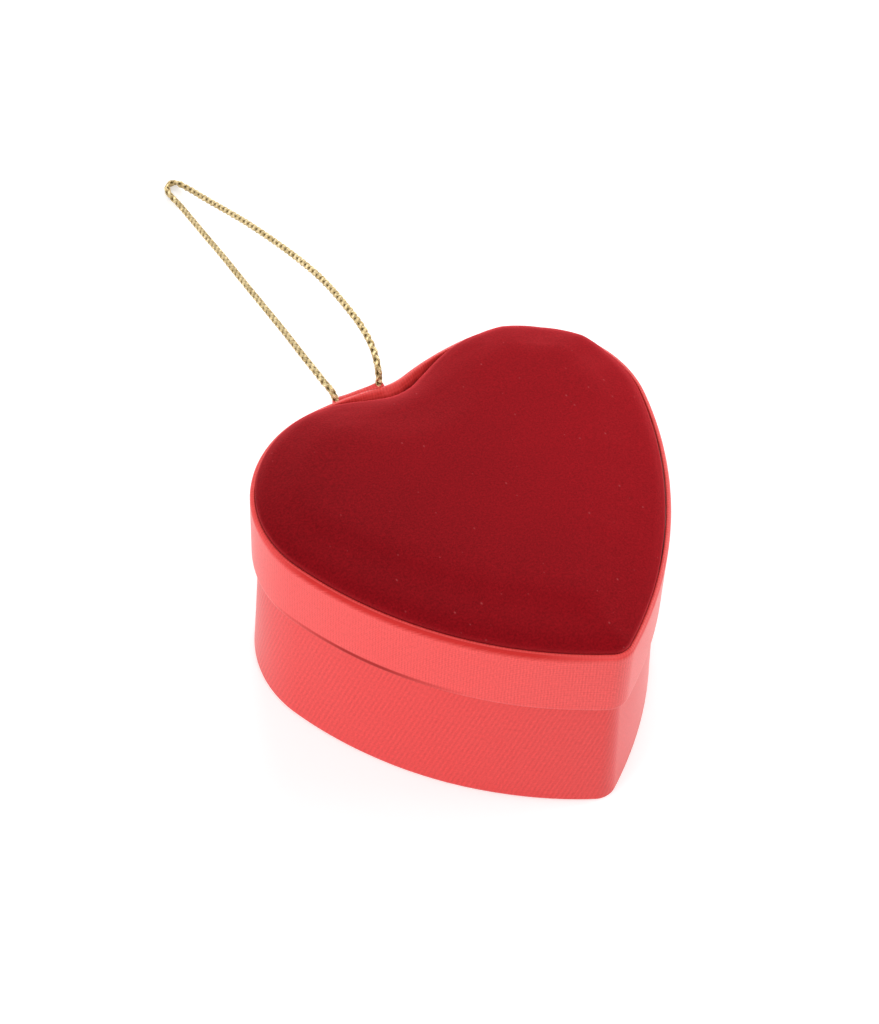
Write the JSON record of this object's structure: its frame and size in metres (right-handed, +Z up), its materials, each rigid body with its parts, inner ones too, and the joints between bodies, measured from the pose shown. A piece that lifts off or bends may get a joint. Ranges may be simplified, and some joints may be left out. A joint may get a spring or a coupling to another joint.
{
  "type": "heart gift box",
  "caption": "Small heart-shaped satin gift box with a lift-off lid, a padded velvet top set inside its rim and a gold cord loop for hanging.",
  "frame": {"origin": "centre of the box's bounding box without the cord loop, on the table under the foot", "axes": "+Z up, the heart's tip towards -Y and its notch towards +Y, +X to the right seen from the tip"},
  "size_m": [0.066, 0.1506, 0.0415],
  "materials": {
    "greyboard": "matt",
    "base_satin": "ribbed satin",
    "lid_satin": "fine-weave satin",
    "foot_paper": "matt",
    "lining_paper": "matt",
    "wadding": "soft",
    "velvet": "velvet pile",
    "gold_cord": "metallic braid"
  },
  "bodies": {
    "base": {"base_floor_board": "greyboard", "base_wall_board": "greyboard", "base_satin_wrap": "base_satin", "base_foot_cover": "foot_paper", "base_wall_lining": "lining_paper", "base_floor_lining": "lining_paper"},
    "lid": {"lid_top_board": "greyboard", "lid_rim_board": "greyboard", "lid_satin_band": "lid_satin", "lid_rim_lining": "lining_paper", "lid_underside_lining": "lining_paper", "lid_pad_card": "greyboard", "lid_pad_wadding": "wadding", "lid_velvet_cover": "velvet", "cord_tab": "lid_satin", "cord_tails": "gold_cord", "hanging_cord": "gold_cord"}
  },
  "joints": [
    {"name": "lid_lift", "type": "slide", "parent": "base", "child": "lid", "axis": [0, 0, 1], "range_m": [0, 0.06]}
  ]
}
